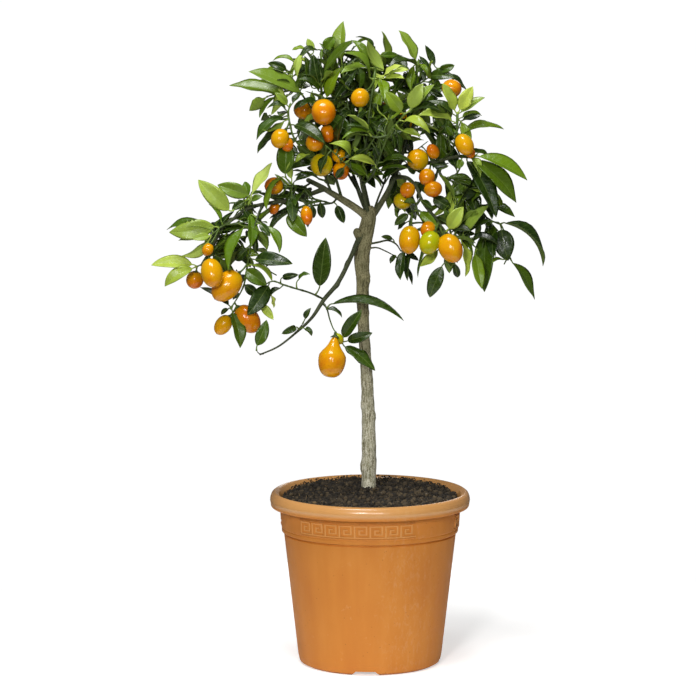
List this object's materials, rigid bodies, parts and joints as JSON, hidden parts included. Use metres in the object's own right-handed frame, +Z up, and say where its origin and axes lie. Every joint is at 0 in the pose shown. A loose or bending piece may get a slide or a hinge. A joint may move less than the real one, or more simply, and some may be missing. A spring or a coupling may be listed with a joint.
{
  "type": "potted kumquat tree",
  "caption": "Small standard kumquat tree with glossy leaves and oval orange fruit, growing in soil in a round tapered plastic planter with a rolled rim.",
  "frame": {"origin": "middle of the planter's underside, on the surface it stands on", "axes": "+Z up along the trunk, -Y towards the front, where the hanging low branch is on the left, +X to the right"},
  "size_m": [0.3834, 0.2202, 0.6399],
  "materials": {
    "planter_plastic": "satin",
    "potting_soil": "matte",
    "bark": "matte",
    "leaf": "satin",
    "kumquat_rind": "gloss"
  },
  "bodies": {
    "root": {"pot": "planter_plastic", "soil": "potting_soil", "trunk_and_branches": "bark", "shoot_back_crown_left": "leaf", "shoot_back_crown_right": "leaf", "shoot_back_front_left": "leaf", "shoot_back_front_right": "leaf", "shoot_back_left_leader": "leaf", "shoot_back_right_mid": "leaf", "shoot_back_right_upright": "leaf", "shoot_back_top_right": "leaf", "shoot_crown_far_left": "leaf", "shoot_crown_left": "leaf", "shoot_crown_right": "leaf", "shoot_far_left_low": "leaf", "shoot_far_left_tip": "leaf", "shoot_far_left_top": "leaf", "shoot_front_centre": "leaf", "shoot_front_left": "leaf", "shoot_front_right": "leaf", "shoot_left_cluster": "leaf", "shoot_left_inner": "leaf", "shoot_left_leader": "leaf", "shoot_left_underside": "leaf", "shoot_low_branch": "leaf", "shoot_low_side": "leaf", "shoot_right_cluster": "leaf", "shoot_right_inner": "leaf", "shoot_right_low": "leaf", "shoot_right_mid": "leaf", "shoot_right_tip": "leaf", "shoot_right_upright": "leaf", "shoot_top": "leaf", "shoot_top_left": "leaf", "shoot_top_right": "leaf", "kumquat_01": "kumquat_rind", "kumquat_02": "kumquat_rind", "kumquat_03": "kumquat_rind", "kumquat_04": "kumquat_rind", "kumquat_05": "kumquat_rind", "kumquat_06": "kumquat_rind", "kumquat_07": "kumquat_rind", "kumquat_08": "kumquat_rind", "kumquat_09": "kumquat_rind", "kumquat_10": "kumquat_rind", "kumquat_11": "kumquat_rind", "kumquat_12": "kumquat_rind", "kumquat_13": "kumquat_rind", "kumquat_14": "kumquat_rind", "kumquat_15": "kumquat_rind", "kumquat_16": "kumquat_rind", "kumquat_17": "kumquat_rind", "kumquat_18": "kumquat_rind", "kumquat_19": "kumquat_rind", "kumquat_20": "kumquat_rind", "kumquat_21": "kumquat_rind", "kumquat_22": "kumquat_rind", "kumquat_23": "kumquat_rind", "kumquat_24": "kumquat_rind", "kumquat_25": "kumquat_rind"}
  },
  "joints": []
}
